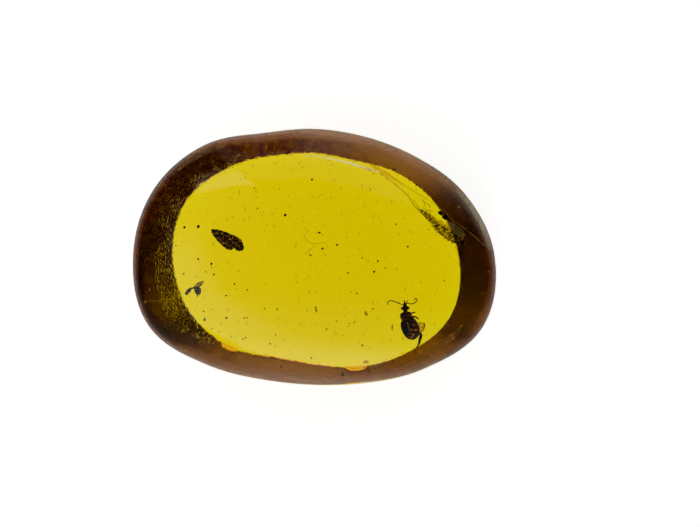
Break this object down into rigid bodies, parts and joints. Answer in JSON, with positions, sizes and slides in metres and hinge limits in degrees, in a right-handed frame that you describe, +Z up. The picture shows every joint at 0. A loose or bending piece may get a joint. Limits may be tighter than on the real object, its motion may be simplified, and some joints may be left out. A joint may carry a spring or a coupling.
{
  "type": "insect in amber",
  "caption": "Polished oval piece of clear golden amber with a small ground beetle, a bud scale and a scrap of plant sealed inside, lying on its flat face.",
  "frame": {"origin": "on the surface that the stone lies on, under the middle of its outline's box", "axes": "+X along the stone's long side, +Y across it, +Z up out of the flat face it rests on"},
  "size_m": [0.0302, 0.0212, 0.006],
  "materials": {
    "amber": "polished clear amber",
    "beetle_chitin": "black-brown chitin",
    "bud_scale_bark": "dull brown bark",
    "plant_fibre": "dull olive-brown fibre"
  },
  "bodies": {
    "root": {"amber_lower": "amber", "amber_upper": "amber", "beetle": "beetle_chitin", "bud_scale": "bud_scale_bark", "plant_scrap": "plant_fibre"}
  },
  "joints": []
}
